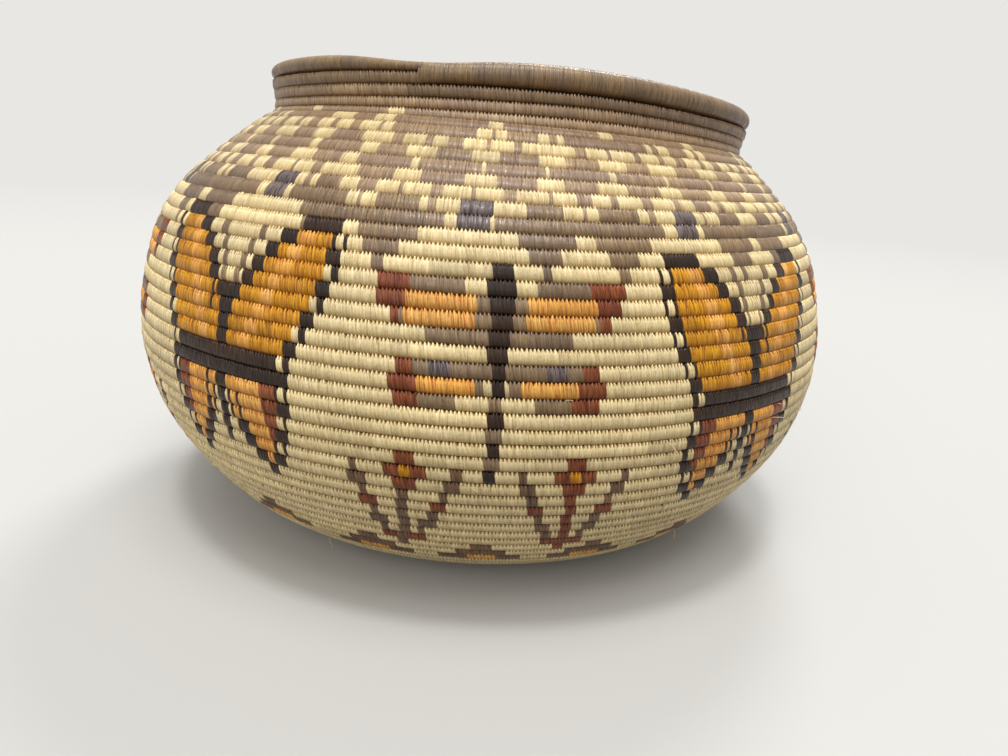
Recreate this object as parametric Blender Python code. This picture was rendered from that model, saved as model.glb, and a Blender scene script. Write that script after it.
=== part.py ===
# A wide-mouthed coiled basket: one fibre-wrapped coil winds out from a knot at the
# middle of the base, up the belly and shoulder, and ends in a thick rim.
# Metres, +Z up. The origin is at the middle of the underside.

import math

import bmesh
import bpy
from mathutils import Vector

# The coil
COIL_HEIGHT = 0.0055
NECK_COIL_HEIGHT = 0.0044
COIL_THICKNESS = 0.0054
COIL_GAP = 0.0006
STEPS_PER_TURN = 24
KNOT_TURNS = 1.5
KNOT_CHAMFER = 0.0012

# Middle of the wall, from the edge of the flat base up to the neck, as radius and height
BASE_RADIUS = 0.0840
WALL_LINE = [
    (0.1055, 0.0070),
    (0.1300, 0.0210),
    (0.1490, 0.0420),
    (0.1615, 0.0640),
    (0.1668, 0.0850),
    (0.1674, 0.0970),
    (0.1663, 0.1120),
    (0.1596, 0.1385),
    (0.1487, 0.1573),
    (0.1379, 0.1688),
    (0.1222, 0.1830),
    (0.1158, 0.1875),
    (0.1146, 0.1930),
    (0.1160, 0.2010),
    (0.1168, 0.2080),
]
LINE_STEPS = 24

# Heights between which the courses grow finer
NECK_FROM = 0.181
NECK_TO = 0.193

# The rim
RIM_STARTS_ABOVE = 0.1996
RIM_TOP = 0.2096
RIM_OUTER_RADIUS = 0.1192
RIM_THICKNESS = 0.0105
RIM_START_THICKNESS = 0.0080
RIM_SIDES = 8
RIM_GROWS_OVER = 0.12
RIM_TAPERS_OVER = 0.11
JOIN_ANGLE = math.radians(-108.5)

# The neck sits a little to one side, and its mouth is a little out of level
LEAN_FROM = 0.150
LEAN_TO = 0.200
LEAN_SHIFT = (0.0073, 0.0076)
LEAN_SLOPE = (-0.0251, -0.0222)

# Hand-made waves of the neck and of the rim's top: direction, rise and half width
WAVES_FROM = 0.186
WAVES_TO = 0.196
NECK_WAVES = [
    (math.radians(-75.0), 0.0013, math.radians(22.0)),
    (math.radians(-142.0), -0.0014, math.radians(25.0)),
]
RIM_WAVES = [
    (JOIN_ANGLE, -0.0022, math.radians(13.0)),
    (math.radians(-142.0), 0.0014, math.radians(25.0)),
]

# Outline of the coil: across the wall, then along it, in half thicknesses and half heights
WALL_SECTION = [(1, 0), (0.5, 1), (-0.5, 1), (-1, 0), (-0.5, -1), (0.5, -1)]
BASE_SECTION = [(1, 0.5), (0, 1), (-1, 0.5), (-1, -0.5), (0, -1), (1, -0.5)]

# The coil is spliced from lengths: whole turns in the base, a little over one turn in the wall
BASE_TURNS = [3, 3, 2, 2, 2]
WALL_LENGTH_STEPS = 25

# Colours of the fibre
NATURAL = (0.72, 0.58, 0.31)
TAUPE = (0.19, 0.12, 0.075)
TAUPE_FROM = 0.181
CHECKED_FROM = 0.140
FIBRE_ROUGHNESS = 0.62


def smooth(value):
    value = min(1.0, max(0.0, value))
    return value * value * (3 - 2 * value)


def mix(low, high, share):
    return low + (high - low) * share


def waves_at(waves, angle):
    height = 0.0
    for direction, rise, half_width in waves:
        away = math.remainder(angle - direction, 2 * math.pi)
        height += rise * math.exp(-((away / half_width) ** 2))
    return height


def clear_scene():
    for old in list(bpy.data.objects):
        bpy.data.objects.remove(old, do_unlink=True)


def fibre_material(name, colour):
    material = bpy.data.materials.new(name)
    material.use_nodes = True
    shader = material.node_tree.nodes["Principled BSDF"]
    shader.inputs["Base Color"].default_value = (*colour, 1.0)
    shader.inputs["Roughness"].default_value = FIBRE_ROUGHNESS
    shader.inputs["Metallic"].default_value = 0.0
    material.diffuse_color = (*colour, 1.0)
    return material


def through(before, start, end, after, share):
    # a point on the smooth curve from start to end
    straight = 2 * start + (end - before) * share
    bend = (2 * before - 5 * start + 4 * end - after) * share**2
    twist = (3 * start - before - 3 * end + after) * share**3
    return (straight + bend + twist) / 2


def wall_curve():
    # the middle of the wall as points with the distance along it from the basket's axis
    base_height = COIL_THICKNESS / 2
    corners = [Vector((BASE_RADIUS - COIL_HEIGHT, base_height)), Vector((BASE_RADIUS, base_height))]
    corners += [Vector(point) for point in WALL_LINE]
    corners.append(2 * corners[-1] - corners[-2])
    points = [Vector((0, base_height))]
    for index in range(1, len(corners) - 2):
        for step in range(LINE_STEPS):
            points.append(through(*corners[index - 1:index + 3], step / LINE_STEPS))
    points.append(corners[-2])
    lengths = [0.0]
    for start, end in zip(points, points[1:]):
        lengths.append(lengths[-1] + (end - start).length)
    return points, lengths


WALL_POINTS, WALL_LENGTHS = wall_curve()


def wall_at(length):
    # the middle of the wall at a distance along it, and the way the wall runs there
    index = 0
    while index < len(WALL_LENGTHS) - 2 and WALL_LENGTHS[index + 1] < length:
        index += 1
    start = WALL_POINTS[index]
    run = WALL_POINTS[index + 1] - start
    share = (length - WALL_LENGTHS[index]) / run.length
    return start + run * share, run.normalized()


def course_height(length):
    height = wall_at(length)[0].y
    return mix(COIL_HEIGHT, NECK_COIL_HEIGHT, smooth((height - NECK_FROM) / (NECK_TO - NECK_FROM)))


def wind_coil():
    # the distance along the wall of the coil's lower side, one value for each step of winding
    sides = [KNOT_TURNS * COIL_HEIGHT]
    while wall_at(sides[-1])[0].y < RIM_STARTS_ABOVE:
        sides.append(sides[-1] + course_height(sides[-1]) / STEPS_PER_TURN)
    rim_step = len(sides) - 1
    for _ in range(2 * STEPS_PER_TURN):
        sides.append(sides[-1] + NECK_COIL_HEIGHT / STEPS_PER_TURN)
    return sides, rim_step


LOWER_SIDES, RIM_STEP = wind_coil()


def step_angle(step):
    return JOIN_ANGLE + (step - RIM_STEP) * 2 * math.pi / STEPS_PER_TURN


def place(radius, height, angle):
    # a point of the wall, with the lean and the waves of the neck
    x = radius * math.cos(angle)
    y = radius * math.sin(angle)
    share = smooth((height - LEAN_FROM) / (LEAN_TO - LEAN_FROM))
    rise = share * (LEAN_SLOPE[0] * x + LEAN_SLOPE[1] * y)
    rise += smooth((height - WAVES_FROM) / (WAVES_TO - WAVES_FROM)) * waves_at(NECK_WAVES, angle)
    return Vector((x + share * LEAN_SHIFT[0], y + share * LEAN_SHIFT[1], height + rise))


def coil_section(step, outline, angle):
    low = LOWER_SIDES[step] + COIL_GAP / 2
    high = LOWER_SIDES[step + STEPS_PER_TURN] - COIL_GAP / 2
    points = []
    for across, along in outline:
        middle, run = wall_at(mix(low, high, (along + 1) / 2))
        reach = across * COIL_THICKNESS / 2
        points.append(place(middle.x + reach * run.y, middle.y - reach * run.x, angle))
    return points


def rim_section(step, angle):
    share = (step - RIM_STEP) / STEPS_PER_TURN
    grown = smooth(share / RIM_GROWS_OVER)
    left = smooth((1 - share) / RIM_TAPERS_OVER)
    low = wall_at(LOWER_SIDES[step] + COIL_GAP / 2)[0].y
    high = RIM_TOP + waves_at(RIM_WAVES, angle)
    thickness = mix(RIM_START_THICKNESS, RIM_THICKNESS, grown)
    thickness = mix(COIL_THICKNESS, thickness, left)
    points = []
    for side in range(RIM_SIDES):
        turn = 2 * math.pi * side / RIM_SIDES
        radius = RIM_OUTER_RADIUS + thickness / 2 * (math.cos(turn) - 1)
        height = (low + high) / 2 + (high - low) / 2 * math.sin(turn)
        points.append(place(radius, height, angle))
    return points


def add_object(name, mesh_data, colour):
    mesh = bpy.data.meshes.new(name)
    mesh_data.to_mesh(mesh)
    mesh_data.free()
    mesh.shade_smooth()
    mesh.set_sharp_from_angle(angle=math.radians(40))
    piece = bpy.data.objects.new(name, mesh)
    piece.data.materials.append(fibre_material(name + "_fibre", colour))
    bpy.context.scene.collection.objects.link(piece)
    return piece


def loft(sections):
    # a closed tube through sections of equal count, capped at both ends
    shape = bmesh.new()
    rings = [[shape.verts.new(point) for point in section] for section in sections]
    count = len(rings[0])
    for ring, following in zip(rings, rings[1:]):
        for side in range(count):
            after = (side + 1) % count
            shape.faces.new((ring[side], ring[after], following[after], following[side]))
    shape.faces.new(rings[0])
    shape.faces.new(rings[-1])
    bmesh.ops.recalc_face_normals(shape, faces=shape.faces)
    return shape


def start_angle(step):
    # a length starts a gap's width past the end of the one before it
    radius = wall_at(LOWER_SIDES[step])[0].x
    return step_angle(step) + COIL_GAP / radius


def coil_length(name, first, last, outline, colour):
    sections = [coil_section(first, outline, start_angle(first))]
    for step in range(first + 1, last + 1):
        sections.append(coil_section(step, outline, step_angle(step)))
    return add_object(name, loft(sections), colour)


def start_knot():
    # the tight turn and a half that the coil grows from, with a step where the coil leaves it
    shape = bmesh.new()
    levels = [(0.0, KNOT_CHAMFER), (KNOT_CHAMFER, 0.0)]
    levels += [(COIL_THICKNESS - height, inset) for height, inset in reversed(levels)]
    rings = []
    for height, inset in levels:
        ring = []
        for step in range(STEPS_PER_TURN + 1):
            radius = LOWER_SIDES[step] - COIL_GAP - inset
            ring.append(shape.verts.new(place(radius, height, step_angle(step))))
        rings.append(ring)
    count = len(rings[0])
    for ring, following in zip(rings, rings[1:]):
        for side in range(count):
            after = (side + 1) % count
            shape.faces.new((ring[side], ring[after], following[after], following[side]))
    shape.faces.new(rings[0])
    shape.faces.new(rings[-1])
    bmesh.ops.recalc_face_normals(shape, faces=shape.faces)
    return add_object("start_knot", shape, NATURAL)


def base_lengths():
    first = 0
    for index, turns in enumerate(BASE_TURNS):
        last = first + turns * STEPS_PER_TURN
        coil_length("base_coil_%02d" % (index + 1), first, last, BASE_SECTION, NATURAL)
        first = last
    return first


def wall_colour(step, index):
    height = wall_at(LOWER_SIDES[step])[0].y
    if height > TAUPE_FROM:
        return TAUPE
    if height > CHECKED_FROM and index % 2:
        return TAUPE
    return NATURAL


def wall_lengths(first):
    index = 1
    while first < RIM_STEP:
        last = min(first + WALL_LENGTH_STEPS, RIM_STEP)
        if RIM_STEP - last < STEPS_PER_TURN // 2:
            last = RIM_STEP
        colour = wall_colour(first, index)
        coil_length("wall_coil_%02d" % index, first, last, WALL_SECTION, colour)
        first = last
        index += 1


def rim_coil():
    sections = [rim_section(RIM_STEP, start_angle(RIM_STEP))]
    for step in range(RIM_STEP + 1, RIM_STEP + STEPS_PER_TURN + 1):
        sections.append(rim_section(step, step_angle(step)))
    return add_object("rim_coil", loft(sections), TAUPE)


def least_gap():
    # the least distance between a turn's upper side and the lower side of the turn on it
    smallest = COIL_HEIGHT
    for step in range(RIM_STEP - STEPS_PER_TURN):
        angle = step_angle(step)
        upper = coil_section(step, [(0.5, 1), (-0.5, 1)], angle)
        lower = coil_section(step + STEPS_PER_TURN, [(0.5, -1), (-0.5, -1)], angle)
        for top, bottom in zip(upper, lower):
            smallest = min(smallest, (top - bottom).length)
    return smallest


clear_scene()
start_knot()
wall_lengths(base_lengths())
rim_coil()
print("least gap between turns: %.2f mm" % (1000 * least_gap()))
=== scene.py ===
import math

import bpy
import numpy as np
from mathutils import Matrix


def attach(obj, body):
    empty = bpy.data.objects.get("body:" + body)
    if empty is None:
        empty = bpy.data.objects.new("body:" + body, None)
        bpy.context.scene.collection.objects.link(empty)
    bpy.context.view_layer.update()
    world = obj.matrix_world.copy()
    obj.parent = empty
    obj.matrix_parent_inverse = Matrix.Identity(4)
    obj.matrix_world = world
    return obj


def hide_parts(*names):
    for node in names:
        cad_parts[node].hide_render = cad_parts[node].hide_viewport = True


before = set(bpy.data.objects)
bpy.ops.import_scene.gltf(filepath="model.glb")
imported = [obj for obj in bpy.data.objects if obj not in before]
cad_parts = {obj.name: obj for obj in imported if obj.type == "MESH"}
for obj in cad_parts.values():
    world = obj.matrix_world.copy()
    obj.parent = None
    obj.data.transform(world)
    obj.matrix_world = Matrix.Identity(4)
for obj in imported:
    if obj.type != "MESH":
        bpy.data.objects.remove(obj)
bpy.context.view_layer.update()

# Lengths are in metres, +Z up, with the origin in the middle of the underside


# The winding of the coil, the same as in the solid model
coil = {
    "height": 0.0055,
    "neckHeight": 0.0044,
    "thickness": 0.0054,
    "knotTurns": 1.5,
    "stepsPerTurn": 24,
    "baseRadius": 0.0840,
    "wallLine": [
        (0.1055, 0.0070), (0.1300, 0.0210), (0.1490, 0.0420), (0.1615, 0.0640), (0.1668, 0.0850),
        (0.1674, 0.0970), (0.1663, 0.1120), (0.1596, 0.1385), (0.1487, 0.1573), (0.1379, 0.1688),
        (0.1222, 0.1830), (0.1158, 0.1875), (0.1146, 0.1930), (0.1160, 0.2010), (0.1168, 0.2080),
    ],
    "lineSteps": 24,
    "neckFrom": 0.181,
    "neckTo": 0.193,
    "joinAngle": math.radians(-108.5),
    "baseTurns": [3, 3, 2, 2, 2],
    "lengthSteps": 25,
    "brownFrom": 43,  # the first length of the wall that is brown
    "tuck": 0.05,  # how far the wall's last length goes into the rim, in steps
    "knotFrom": -34.0,
    "tipShare": 0.1,  # the knot's thickness at its tip, as a share
    "tipRuns": 0.006,
    "uneven": 0.03,
    "unevenRun": 0.05,
}

# The last turn: thick, closely wrapped, and with its tapered end laid over its start
rim = {
    "startsAbove": 0.1996,
    "top": 0.2096,
    "outerRadius": 0.1192,
    "thickness": 0.0105,
    "startThickness": 0.0080,
    "growsOver": 0.12,
    "tapersOver": 0.11,
    "wrap": 0.00078,
    "columns": [0.0, 0.33, 0.67],
    "groove": [1.0, 0.0, 0.0],
    "rows": 24,
    "ridge": 0.00006,
    "bulge": 0.25,
    "uneven": 0.12,
    "startFit": 1.06,
    "startSquare": 0.5,
    "startRuns": 0.012,
    "tuck": 0.0012,
    # painted shade towards the rim's underside, and a painted highlight on its top
    "shade": 0.46,
    "shadeFrom": 0.30,
    "marksAndPaintedHighlight": 0.50,
    "paintedHighlightFrom": 0.45,
    "toneStep": 0.45,
    "lot": 9,  # wraps of one shade
}

# Between two heights the wall comes to lean a little, and the neck and the rim rise in waves:
# for each its direction in degrees, its rise and its half width in degrees
lean = {
    "low": 0.150,
    "high": 0.200,
    "shift": (0.0073, 0.0076),
    "slope": (-0.0251, -0.0222),
    "wavesLow": 0.186,
    "wavesHigh": 0.196,
    "neckWaves": [(-75.0, 0.0013, 22.0), (-142.0, -0.0014, 25.0)],
    "rimWaves": [(-108.5, -0.0022, 13.0), (-142.0, 0.0014, 25.0)],
}

# One stitch, and the coil's section in half thicknesses and half heights, at the groove between
# two stitches and at the middle of one, going round from the underside by the outer face
stitch = {
    "pitch": 0.00139,
    "columns": [0.0, 0.27, 0.5, 0.73],
    "tooth": [0.0, 0.5, 1.0, 0.5],
    "groove": [1.0, 0.0, 0.38, 0.0],
    "grooveDepth": 0.00007,
    "innerGroove": 2.5,
    "innerBelow": -0.3,
    "toothRise": 0.08,
    "tallest": 1.5,
    "slant": 0.00042,
    "slantVaries": 0.35,
    "bulge": 0.012,
    "uneven": 0.05,
    "wave": 0.00013,
    "waveRuns": (0.045, 0.013),
    "quickShare": 0.5,
    "toneVaries": 0.55,
    "shoulderTooth": 0.85,
    "shoulderFrom": 0.150,
    "shoulderOver": 0.030,
    "leansBy": 1.6,
    "baseBelow": 0.006,
    "atGroove": [
        (0.00, -1.06), (0.38, -1.00), (0.70, -0.82), (0.92, -0.50), (1.00, -0.08), (0.975, 0.36),
        (0.93, 0.64), (0.83, 0.83), (0.56, 0.92), (0.14, 0.97), (-0.08, 1.06), (-0.60, 0.88),
        (-0.97, 0.36), (-0.97, -0.36), (-0.60, -0.88),
    ],
    "atTooth": [
        (0.00, -1.06), (0.38, -1.00), (0.70, -0.82), (0.92, -0.50), (1.00, -0.08), (0.985, 0.35),
        (0.97, 0.64), (0.955, 0.94), (0.86, 1.22), (0.42, 1.10), (-0.08, 1.06), (-0.60, 0.88),
        (-0.97, 0.36), (-0.97, -0.36), (-0.60, -0.88),
    ],
    # painted shade for each of those points, deep in the seams and milder down the coil's lower side,
    # with a painted highlight on the tooth tips where the value is below nought; on the belly and on
    # the wall that leans out over the floor, where the seams are seen from above
    "shadow": {
        "groove": [1.0, 0.80, 0.50, 0.30, 0.18, 0.04, -0.05, 0.85, 1.0, 1.0, 1.0, 0.5, 0.0, 0.0, 0.5],
        "tooth": [1.0, 0.80, 0.50, 0.30, 0.18, 0.04, -0.22, -0.38, -0.40, 0.9, 1.0, 0.5, 0.0, 0.0, 0.5],
    },
    "leaningShadow": {
        "groove": [1.0, 0.90, 0.60, 0.40, 0.20, 0.05, 0.0, 0.90, 1.0, 1.0, 1.0, 0.5, 0.0, 0.0, 0.5],
        "tooth": [1.0, 0.90, 0.60, 0.40, 0.20, 0.05, -0.22, -0.38, -0.35, 0.9, 1.0, 0.5, 0.0, 0.0, 0.5],
    },
}

seeds = {"slowWave": 5, "quickWave": 6, "thickness": 8, "stitches": 21, "rim": 33, "loose": 8}


def smooth(value):
    value = np.clip(value, 0.0, 1.0)
    return value * value * (3 - 2 * value)


def mix(low, high, share):
    return low + (high - low) * share


def wallCurve():
    # the middle of the wall from the basket's axis to the neck, as radius and height
    flat = coil["thickness"] / 2
    corners = [(coil["baseRadius"] - coil["height"], flat), (coil["baseRadius"], flat)]
    corners = np.array(corners + coil["wallLine"])
    corners = np.vstack([corners, 2 * corners[-1] - corners[-2]])
    points = [np.array([0.0, flat])]
    for index in range(1, len(corners) - 2):
        before, start, end, after = corners[index - 1:index + 3]
        for step in range(coil["lineSteps"]):
            share = step / coil["lineSteps"]
            straight = 2 * start + (end - before) * share
            bend = (2 * before - 5 * start + 4 * end - after) * share**2
            twist = (3 * start - before - 3 * end + after) * share**3
            points.append((straight + bend + twist) / 2)
    points.append(corners[-2])
    points = np.array(points)
    lengths = np.concatenate([[0.0], np.cumsum(np.linalg.norm(np.diff(points, axis=0), axis=1))])
    return points, lengths


wallPoints, wallLengths = wallCurve()


def wallAt(length):
    radius = np.interp(length, wallLengths, wallPoints[:, 0])
    height = np.interp(length, wallLengths, wallPoints[:, 1])
    past = np.maximum(length - wallLengths[-1], 0.0)
    run = (wallPoints[-1] - wallPoints[-2]) / (wallLengths[-1] - wallLengths[-2])
    return radius + past * run[0] + np.minimum(length, 0.0), height + past * run[1]


def runAt(length):
    # which way the wall runs there, measured over a short way
    near = 0.0008
    ahead, behind = wallAt(length + near), wallAt(length - near)
    run = np.stack([ahead[0] - behind[0], ahead[1] - behind[1]])
    return run / np.linalg.norm(run, axis=0)


turn = coil["stepsPerTurn"]


def windCoil():
    # the distance along the wall of the coil's lower side, one value for each step of winding
    sides = [coil["knotTurns"] * coil["height"]]
    while wallAt(sides[-1])[1] < rim["startsAbove"]:
        height = wallAt(sides[-1])[1]
        share = smooth((height - coil["neckFrom"]) / (coil["neckTo"] - coil["neckFrom"]))
        sides.append(sides[-1] + mix(coil["height"], coil["neckHeight"], share) / turn)
    rimStep = len(sides) - 1
    sides += [sides[-1] + coil["neckHeight"] / turn * step for step in range(1, 2 * turn + 1)]
    return np.array(sides), rimStep


lowerSides, rimStep = windCoil()


def lowerSideAt(step):
    inside = np.minimum(step, 0.0) * coil["height"] / turn
    return np.interp(step, np.arange(len(lowerSides)), lowerSides) + inside


def angleAt(step):
    return coil["joinAngle"] + (step - rimStep) * 2 * math.pi / turn


def wavesAt(waves, angle):
    height = 0.0
    for direction, rise, halfWidth in waves:
        away = np.degrees(angle) - direction
        away = (away + 180) % 360 - 180
        height = height + rise * np.exp(-((away / halfWidth) ** 2))
    return height


def place(radius, height, angle):
    x = radius * np.cos(angle)
    y = radius * np.sin(angle)
    share = smooth((height - lean["low"]) / (lean["high"] - lean["low"]))
    rise = share * (lean["slope"][0] * x + lean["slope"][1] * y)
    span = lean["wavesHigh"] - lean["wavesLow"]
    waves = smooth((height - lean["wavesLow"]) / span) * wavesAt(lean["neckWaves"], angle)
    z = height + rise + waves
    return np.stack([x + share * lean["shift"][0], y + share * lean["shift"][1], z], -1)


def handWave(distance, spacing, name):
    # slow hand-made unevenness along the coil, from -1 to 1
    longest, spare = 60, 3
    count = int(longest / spacing) + 2 * spare + 2
    values = np.random.default_rng(seeds[name]).uniform(-1, 1, count)
    spot = np.asarray(distance) / spacing + spare
    index = np.floor(spot).astype(int)
    return mix(values[index], values[index + 1], smooth(spot - index))


# The length of the coil from the start of the knot, in fine steps of winding
fineStep = 0.05
fineSteps = np.arange(-coil["knotTurns"] * turn, rimStep + turn + 2.0, fineStep)
courseRadius = wallAt((lowerSideAt(fineSteps) + lowerSideAt(fineSteps + turn)) / 2)[0]
fineArc = np.concatenate([[0.0], np.cumsum(
    (courseRadius[1:] + courseRadius[:-1]) / 2 * fineStep * 2 * math.pi / turn)])


def arcAt(step):
    return np.interp(step, fineSteps, fineArc)


def stepAt(arc):
    return np.interp(arc, fineArc, fineSteps)


def boundaryAt(step):
    # the seam under the coil, a little uneven as hands make it
    slowRun, quickRun = stitch["waveRuns"]
    seam = handWave(arcAt(step), slowRun, "slowWave")
    seam = seam + stitch["quickShare"] * handWave(arcAt(step), quickRun, "quickWave")
    return lowerSideAt(step) + stitch["wave"] * seam


stitchCount = int(fineArc[-1] / stitch["pitch"])
draw = np.random.default_rng(seeds["stitches"])
stitchStart = (np.arange(stitchCount + 1)
               + draw.uniform(-1, 1, stitchCount + 1) * stitch["uneven"]) * stitch["pitch"]
stitchRise = draw.normal(0, 1, stitchCount + 1)
stitchSlant = draw.normal(0, 1, stitchCount + 1)
stitchBulge = draw.normal(0, 1, stitchCount + 1)
stitchTone = draw.normal(0, 1, stitchCount + 1)
print("coil wound: %d stitches, %.1f m" % (stitchCount, fineArc[-1]))


# Each dye: a warm and a cool shade of it, the shade of its streaks, and how much of each effect it has;
# grooves is how much painted shade lies between its stitches
dyes = {
    "natural": {
        "warm": (243, 225, 173), "cool": (236, 219, 173), "deep": (187, 153, 95),
        "streaks": 0.45, "slits": 0.40, "spots": 0.32, "grooves": 0.04, "shine": 0.35, "polish": 0.0,
    },
    "brownGrey": {
        "warm": (159, 130, 90), "cool": (139, 114, 87), "deep": (78, 57, 37),
        "streaks": 0.60, "slits": 0.35, "spots": 0.20, "grooves": 0.19, "shine": 0.52, "polish": 0.10,
    },
    # a paler copy of the brown-grey dye, painted as lit from above, for the rows that face up on the
    # shoulder
    "paintedLitBrownGrey": {
        "warm": (190, 160, 118), "cool": (166, 138, 112), "deep": (104, 80, 55),
        "streaks": 0.60, "slits": 0.45, "spots": 0.20, "grooves": 0.20, "shine": 0.60, "polish": 0.06,
    },
    "brown": {
        "warm": (146, 108, 68), "cool": (122, 90, 62), "deep": (66, 42, 24),
        "streaks": 0.80, "slits": 0.80, "spots": 0.20, "grooves": 0.20, "shine": 0.45, "polish": 0.08,
    },
    "black": {
        "warm": (70, 44, 24), "cool": (52, 34, 22), "deep": (18, 10, 5),
        "streaks": 0.70, "slits": 0.80, "spots": 0.10, "grooves": 0.30, "shine": 0.26, "polish": 0.08,
    },
    "gold": {
        "warm": (235, 170, 24), "cool": (221, 158, 42), "deep": (156, 94, 6),
        "streaks": 0.72, "slits": 0.70, "spots": 0.20, "grooves": 0.15, "shine": 0.30, "polish": 0.0,
    },
    "orange": {
        "warm": (250, 198, 108), "cool": (245, 184, 86), "deep": (190, 114, 46),
        "streaks": 0.70, "slits": 0.70, "spots": 0.20, "grooves": 0.15, "shine": 0.30, "polish": 0.0,
    },
    "rust": {
        "warm": (168, 98, 52), "cool": (148, 76, 40), "deep": (88, 36, 15),
        "streaks": 0.80, "slits": 0.80, "spots": 0.20, "grooves": 0.22, "shine": 0.30, "polish": 0.05,
    },
    "violet": {
        "warm": (150, 132, 122), "cool": (122, 105, 108), "deep": (48, 39, 42),
        "streaks": 0.95, "slits": 0.80, "spots": 0.20, "grooves": 0.22, "shine": 0.42, "polish": 0.06,
    },
}
dyeNames = list(dyes)
grooveShades = np.array([shades["grooves"] for shades in dyes.values()])
natural, brownGrey, paintedLitBrownGrey, brown, black, gold, orange, rust, violet = range(len(dyes))

# Rows of stepped diamonds on the shoulder: for each row under the rim, the half widths of the
# brown steps in the middle of a diamond and where two diamonds meet, as shares of one diamond.
# Under every three of them hang two steps and a violet block. The places in the last line are
# counted in diamonds from the first of the three
band = {
    "diamonds": 36, "centre": -88.0, "darkRows": 2, "rows": 20,
    "steps": {4: (0.50, 0.50), 5: (0.25, 0.05), 6: (0.10, 0.05), 7: (0.27, 0.0), 8: (0.445, 0.0),
              9: (0.28, 0.0), 10: (0.11, 0.05), 11: (0.04, 0.0), 12: (0.0, 0.0), 13: (0.0, 0.0)},
    "hanging": {11: 0.29, 12: 0.49, 13: 0.37, 14: 0.19, 15: 0.06},
    "uneven": 0.025, "paleBlock": 0.14,
    "pair": 2, "gap": (2.2, 2.85), "violetBlock": (2.38, 2.78),
}

# Half of each figure, mirrored about its middle: rows up from its middle row, and millimetres
# sideways to the inner and the outer side of its outline there
butterfly = {
    "count": 5, "centre": -124.0, "row": 22,
    "upperWing": [(-1, 2, 32), (1, 2, 37), (3, 3, 42), (5, 9, 45), (7, 19, 45), (8, 26, 41)],
    "lowerWing": [(-9, 17, 21), (-8, 12, 26), (-6, 6, 30), (-4, 3, 32), (-2, 2, 32)],
    "body": [(-7, 0, 1.6), (-3, 0, 2.6), (1, 0, 3.0), (3, 0, 3.6)],
    "feelers": [(4, 2.2, 4.6), (5, 3.6, 6.4), (6, 5.6, 8.6), (7, 8, 12)],
    "edge": 5.5, "bodyHalf": 2, "rustFrom": 16, "dashes": (1.9, 4.6), "dashRows": 8,
    "stripe": {"lean": 2.6, "start": 11, "half": 3.0},
}

dragonfly = {
    "count": 5, "centre": -88.0, "row": 20,
    "upperWing": [(0.6, 2, 16), (1, 2, 24), (2, 2, 37), (3, 3, 41), (4, 12, 42), (4.4, 18, 40)],
    "lowerWing": [(-3.4, 18, 32), (-3, 13, 35), (-2, 4, 37), (-1, 2, 34), (-0.4, 2, 26)],
    "body": [(-8, 0, 2.2), (-1, 0, 2.4), (0, 0, 3.4), (3, 0, 3.8), (4, 0, 4.6), (5, 0, 3.2)],
    "orangeRows": {"upperWing": (2, 3), "lowerWing": (-2, -2)},
    "orange": (8, 32), "tipFrom": 33, "tipLean": 1.5, "tipRow": 2,
    "violet": (16, 23), "violetRow": -1, "chestFrom": -1,
}

# A small plant with two rows of leaves: its parts are shares of one block of stitches
sprig = {
    "row": 36, "apart": 0.030, "tiers": 4, "block": 0.0062,
    "stem": 0.35, "spread": 0.62, "flower": 1.25, "narrows": 0.6, "eye": 0.4,
}

foot = {"count": 20, "row": 36, "rows": 3, "top": 0.004, "step": 0.006, "orange": 0.006}

bandEdges = draw.normal(0, 1, (band["rows"], 2 * band["diamonds"])) * band["uneven"]


def rowAndSide(step, centre, count):
    # the row under the rim and the way sideways from the nearest of some figures round the basket
    past = (angleAt(step) - coil["joinAngle"]) % (2 * math.pi)
    first = math.radians(centre) - coil["joinAngle"]
    each = 2 * math.pi / count
    which = np.round((past - first) / each)
    middle = (first + which * each) % (2 * math.pi)
    away = (past - middle + math.pi) % (2 * math.pi) - math.pi
    row = np.round((rimStep - step) / turn + (away + middle) / (2 * math.pi))
    radius = wallAt(lowerSideAt(step + turn / 2))[0]
    return row, away * radius, which.astype(int) % count


def checkedBand(step, dye):
    row, side, which = rowAndSide(step, band["centre"], band["diamonds"])
    across = side / (2 * math.pi * wallAt(lowerSideAt(step + turn / 2))[0]) * band["diamonds"]
    fromMiddle, fromMeeting = np.abs(across), 0.5 - np.abs(across)
    edge = bandEdges[np.clip(row, 0, band["rows"] - 1).astype(int), 2 * which + (across > 0)]
    third = (which + across) % 3
    for line, (middle, meeting) in band["steps"].items():
        steps = (fromMiddle < middle + edge) & (middle > 0)
        steps = steps | (fromMeeting < meeting + edge) & (meeting > 0)
        on = row == line
        # the brown steps take the paler copy of the brown-grey dye, painted as lit from above
        dye[on] = np.where(steps, paintedLitBrownGrey, natural)[on]
    # small pale blocks in the uppermost row, and none in parts of the next
    top = min(band["steps"])
    pale = (fromMeeting < band["paleBlock"] + edge) & ((which + (across > 0)) % 2 == 0)
    dye[(row == top) & pale] = natural
    dye[(row == top + 1) & (third > 1) & (third < 2)] = paintedLitBrownGrey
    for line, half in band["hanging"].items():
        dye[(row == line) & (third < band["pair"]) & (fromMeeting < half + edge)] = brownGrey
    hang = min(band["hanging"])
    dye[(row == hang + 1) & ((third < band["gap"][0]) | (third > band["gap"][1]))] = brownGrey
    block = (third > band["violetBlock"][0]) & (third < band["violetBlock"][1])
    dye[(row >= hang) & (row <= hang + 1) & block] = violet


def within(outline, up, out):
    # inside one of the outlines above
    rows, inner, outer = np.array(outline).T
    inside = (up >= rows[0]) & (up <= rows[-1])
    return inside & (out > np.interp(up, rows, inner)) & (out < np.interp(up, rows, outer))


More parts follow.
